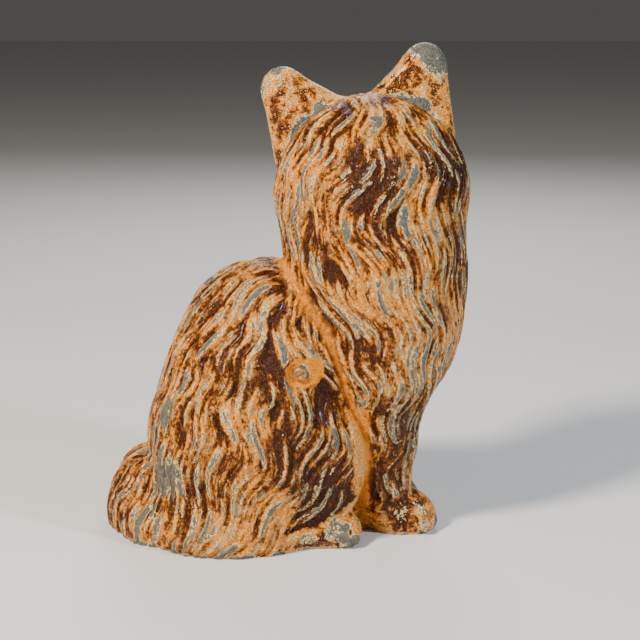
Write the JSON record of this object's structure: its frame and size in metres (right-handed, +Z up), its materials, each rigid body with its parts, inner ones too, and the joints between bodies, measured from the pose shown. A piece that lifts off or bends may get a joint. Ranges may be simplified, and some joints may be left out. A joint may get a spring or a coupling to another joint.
{
  "type": "cat doorstop",
  "caption": "Cast-iron doorstop: a full figure of a sitting long-haired cat with its head turned aside, cast as two screwed halves, with worn mottled paint.",
  "frame": {"origin": "on the floor under the middle of the doorstop's extent", "axes": "+Z up; +X the way the cat's body faces; +Y the way its head faces, across the body to its left"},
  "size_m": [0.1634, 0.1196, 0.216],
  "materials": {
    "painted_iron": "glossy brown glaze over tan-orange enamel, worn through to cream primer and grey iron on the ridges of the fur",
    "screw_steel": "dull steel with traces of tan paint"
  },
  "bodies": {
    "root": {"right_half_casting": "painted_iron", "left_half_casting": "painted_iron", "joining_screw": "screw_steel"}
  },
  "joints": []
}
